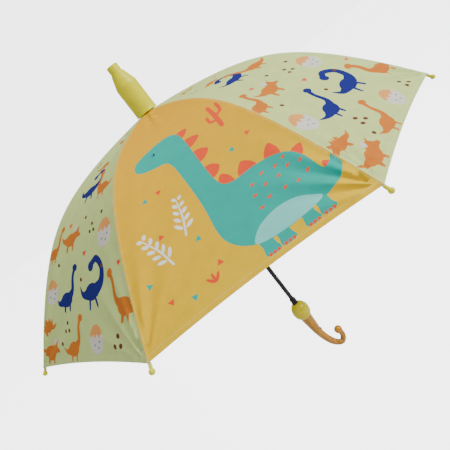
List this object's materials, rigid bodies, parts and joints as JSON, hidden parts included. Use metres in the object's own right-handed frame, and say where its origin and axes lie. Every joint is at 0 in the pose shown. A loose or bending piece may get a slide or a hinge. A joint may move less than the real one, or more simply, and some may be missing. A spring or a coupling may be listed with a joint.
{
  "type": "children's stick umbrella",
  "caption": "Open stick umbrella for a child: domed canopy on hinged wire ribs and stretchers, sliding runner, telescopic drip cover, bulb grip with a small hook.",
  "frame": {"origin": "centre of the handle's bulb, on the shaft's axis", "axes": "+Z along the shaft towards the drip cover; -Y is the front, the middle of a canopy gore; +X is the side the hook opens to"},
  "size_m": [0.7538, 0.7538, 0.7146],
  "materials": {
    "canopy_yellow": "fine woven polyester, printed, warm yellow",
    "canopy_green": "fine woven polyester, printed, pale green",
    "black_lacquer": "satin black lacquer",
    "steel_wire": "bright galvanised",
    "stretcher_steel": "bright galvanised",
    "rivet_steel": "plain steel",
    "catch_steel": "plain spring steel",
    "black_plastic": "moulded, satin",
    "lemon_plastic": "satin, slightly translucent",
    "bulb_plastic": "glossy",
    "tip_plastic": "glossy",
    "amber_plastic": "glossy, slightly translucent amber"
  },
  "bodies": {
    "shaft": {"shaft_tube": "black_lacquer", "crown": "black_plastic", "crown_ring": "steel_wire", "canopy_washer": "black_plastic", "ferrule": "black_plastic", "cover_tip": "lemon_plastic", "handle_collar": "black_plastic", "handle_bulb": "bulb_plastic", "handle_hook": "amber_plastic"},
    "runner": {"runner": "black_plastic"},
    "drip_cover": {"cover_sleeve_outer": "lemon_plastic", "cover_sleeve_middle": "lemon_plastic", "cover_sleeve_inner": "lemon_plastic"},
    "top_catch": {"top_catch": "catch_steel"},
    "bottom_catch": {"bottom_catch": "catch_steel"},
    "rib_1": {"rib_1": "steel_wire", "rib_tip_1": "tip_plastic", "canopy_1": "canopy_yellow"},
    "stretcher_1": {"stretcher_1": "stretcher_steel", "rib_rivet_1": "rivet_steel"},
    "rib_2": {"rib_2": "steel_wire", "rib_tip_2": "tip_plastic", "canopy_2": "canopy_green"},
    "stretcher_2": {"stretcher_2": "stretcher_steel", "rib_rivet_2": "rivet_steel"},
    "rib_3": {"rib_3": "steel_wire", "rib_tip_3": "tip_plastic", "canopy_3": "canopy_yellow"},
    "stretcher_3": {"stretcher_3": "stretcher_steel", "rib_rivet_3": "rivet_steel"},
    "rib_4": {"rib_4": "steel_wire", "rib_tip_4": "tip_plastic", "canopy_4": "canopy_green"},
    "stretcher_4": {"stretcher_4": "stretcher_steel", "rib_rivet_4": "rivet_steel"},
    "rib_5": {"rib_5": "steel_wire", "rib_tip_5": "tip_plastic", "canopy_5": "canopy_yellow"},
    "stretcher_5": {"stretcher_5": "stretcher_steel", "rib_rivet_5": "rivet_steel"},
    "rib_6": {"rib_6": "steel_wire", "rib_tip_6": "tip_plastic", "canopy_6": "canopy_green"},
    "stretcher_6": {"stretcher_6": "stretcher_steel", "rib_rivet_6": "rivet_steel"},
    "rib_7": {"rib_7": "steel_wire", "rib_tip_7": "tip_plastic", "canopy_7": "canopy_yellow"},
    "stretcher_7": {"stretcher_7": "stretcher_steel", "rib_rivet_7": "rivet_steel"},
    "rib_8": {"rib_8": "steel_wire", "rib_tip_8": "tip_plastic", "canopy_8": "canopy_green"},
    "stretcher_8": {"stretcher_8": "stretcher_steel", "rib_rivet_8": "rivet_steel"}
  },
  "joints": [
    {"name": "runner_slide", "type": "slide", "parent": "shaft", "child": "runner", "axis": [0, 0, 1], "range_m": [-0.29684, 0], "deforming": ["canopy_1", "canopy_2", "canopy_3", "canopy_4", "canopy_5", "canopy_6", "canopy_7", "canopy_8"]},
    {"name": "rib_1_hinge", "type": "hinge", "parent": "shaft", "child": "rib_1", "pos_m": [0.00459, -0.01109, 0.4885], "axis": [0.9239, 0.3827, 0], "range_deg": [0, 61.65]},
    {"name": "stretcher_1_hinge", "type": "hinge", "parent": "rib_1", "child": "stretcher_1", "pos_m": [0.07835, -0.18915, 0.44832], "axis": [0.9239, 0.3827, 0], "range_deg": [-123.31, 0]},
    {"name": "rib_2_hinge", "type": "hinge", "parent": "shaft", "child": "rib_2", "pos_m": [0.01109, -0.00459, 0.4885], "axis": [0.3827, 0.9239, 0], "range_deg": [0, 61.65]},
    {"name": "stretcher_2_hinge", "type": "hinge", "parent": "rib_2", "child": "stretcher_2", "pos_m": [0.18915, -0.07835, 0.44832], "axis": [0.3827, 0.9239, 0], "range_deg": [-123.31, 0]},
    {"name": "rib_3_hinge", "type": "hinge", "parent": "shaft", "child": "rib_3", "pos_m": [0.01109, 0.00459, 0.4885], "axis": [-0.3827, 0.9239, 0], "range_deg": [0, 61.65]},
    {"name": "stretcher_3_hinge", "type": "hinge", "parent": "rib_3", "child": "stretcher_3", "pos_m": [0.18915, 0.07835, 0.44832], "axis": [-0.3827, 0.9239, 0], "range_deg": [-123.31, 0]},
    {"name": "rib_4_hinge", "type": "hinge", "parent": "shaft", "child": "rib_4", "pos_m": [0.00459, 0.01109, 0.4885], "axis": [-0.9239, 0.3827, 0], "range_deg": [0, 61.65]},
    {"name": "stretcher_4_hinge", "type": "hinge", "parent": "rib_4", "child": "stretcher_4", "pos_m": [0.07835, 0.18915, 0.44832], "axis": [-0.9239, 0.3827, 0], "range_deg": [-123.31, 0]},
    {"name": "rib_5_hinge", "type": "hinge", "parent": "shaft", "child": "rib_5", "pos_m": [-0.00459, 0.01109, 0.4885], "axis": [-0.9239, -0.3827, 0], "range_deg": [0, 61.65]},
    {"name": "stretcher_5_hinge", "type": "hinge", "parent": "rib_5", "child": "stretcher_5", "pos_m": [-0.07835, 0.18915, 0.44832], "axis": [-0.9239, -0.3827, 0], "range_deg": [-123.31, 0]},
    {"name": "rib_6_hinge", "type": "hinge", "parent": "shaft", "child": "rib_6", "pos_m": [-0.01109, 0.00459, 0.4885], "axis": [-0.3827, -0.9239, 0], "range_deg": [0, 61.65]},
    {"name": "stretcher_6_hinge", "type": "hinge", "parent": "rib_6", "child": "stretcher_6", "pos_m": [-0.18915, 0.07835, 0.44832], "axis": [-0.3827, -0.9239, 0], "range_deg": [-123.31, 0]},
    {"name": "rib_7_hinge", "type": "hinge", "parent": "shaft", "child": "rib_7", "pos_m": [-0.01109, -0.00459, 0.4885], "axis": [0.3827, -0.9239, 0], "range_deg": [0, 61.65]},
    {"name": "stretcher_7_hinge", "type": "hinge", "parent": "rib_7", "child": "stretcher_7", "pos_m": [-0.18915, -0.07835, 0.44832], "axis": [0.3827, -0.9239, 0], "range_deg": [-123.31, 0]},
    {"name": "rib_8_hinge", "type": "hinge", "parent": "shaft", "child": "rib_8", "pos_m": [-0.00459, -0.01109, 0.4885], "axis": [0.9239, -0.3827, 0], "range_deg": [0, 61.65]},
    {"name": "stretcher_8_hinge", "type": "hinge", "parent": "rib_8", "child": "stretcher_8", "pos_m": [-0.07835, -0.18915, 0.44832], "axis": [0.9239, -0.3827, 0], "range_deg": [-123.31, 0]},
    {"name": "top_catch_push", "type": "slide", "parent": "shaft", "child": "top_catch", "axis": [0, -1, 0], "range_m": [0, 0.0026], "stiffness_N_per_m": 400},
    {"name": "bottom_catch_push", "type": "slide", "parent": "shaft", "child": "bottom_catch", "axis": [0, -1, 0], "range_m": [0, 0.0026], "stiffness_N_per_m": 400},
    {"name": "drip_cover_turn", "type": "hinge", "parent": "shaft", "child": "drip_cover", "pos_m": [0, 0, 0.54], "axis": [0, 0, 1], "continuous": true}
  ],
  "couplings": [
    {"joint": "rib_1_hinge", "follows": "runner_slide", "rad_per_m": -3.6192},
    {"joint": "stretcher_1_hinge", "follows": "runner_slide", "rad_per_m": 7.2383},
    {"joint": "rib_2_hinge", "follows": "runner_slide", "rad_per_m": -3.6192},
    {"joint": "stretcher_2_hinge", "follows": "runner_slide", "rad_per_m": 7.2383},
    {"joint": "rib_3_hinge", "follows": "runner_slide", "rad_per_m": -3.6192},
    {"joint": "stretcher_3_hinge", "follows": "runner_slide", "rad_per_m": 7.2383},
    {"joint": "rib_4_hinge", "follows": "runner_slide", "rad_per_m": -3.6192},
    {"joint": "stretcher_4_hinge", "follows": "runner_slide", "rad_per_m": 7.2383},
    {"joint": "rib_5_hinge", "follows": "runner_slide", "rad_per_m": -3.6192},
    {"joint": "stretcher_5_hinge", "follows": "runner_slide", "rad_per_m": 7.2383},
    {"joint": "rib_6_hinge", "follows": "runner_slide", "rad_per_m": -3.6192},
    {"joint": "stretcher_6_hinge", "follows": "runner_slide", "rad_per_m": 7.2383},
    {"joint": "rib_7_hinge", "follows": "runner_slide", "rad_per_m": -3.6192},
    {"joint": "stretcher_7_hinge", "follows": "runner_slide", "rad_per_m": 7.2383},
    {"joint": "rib_8_hinge", "follows": "runner_slide", "rad_per_m": -3.6192},
    {"joint": "stretcher_8_hinge", "follows": "runner_slide", "rad_per_m": 7.2383}
  ]
}
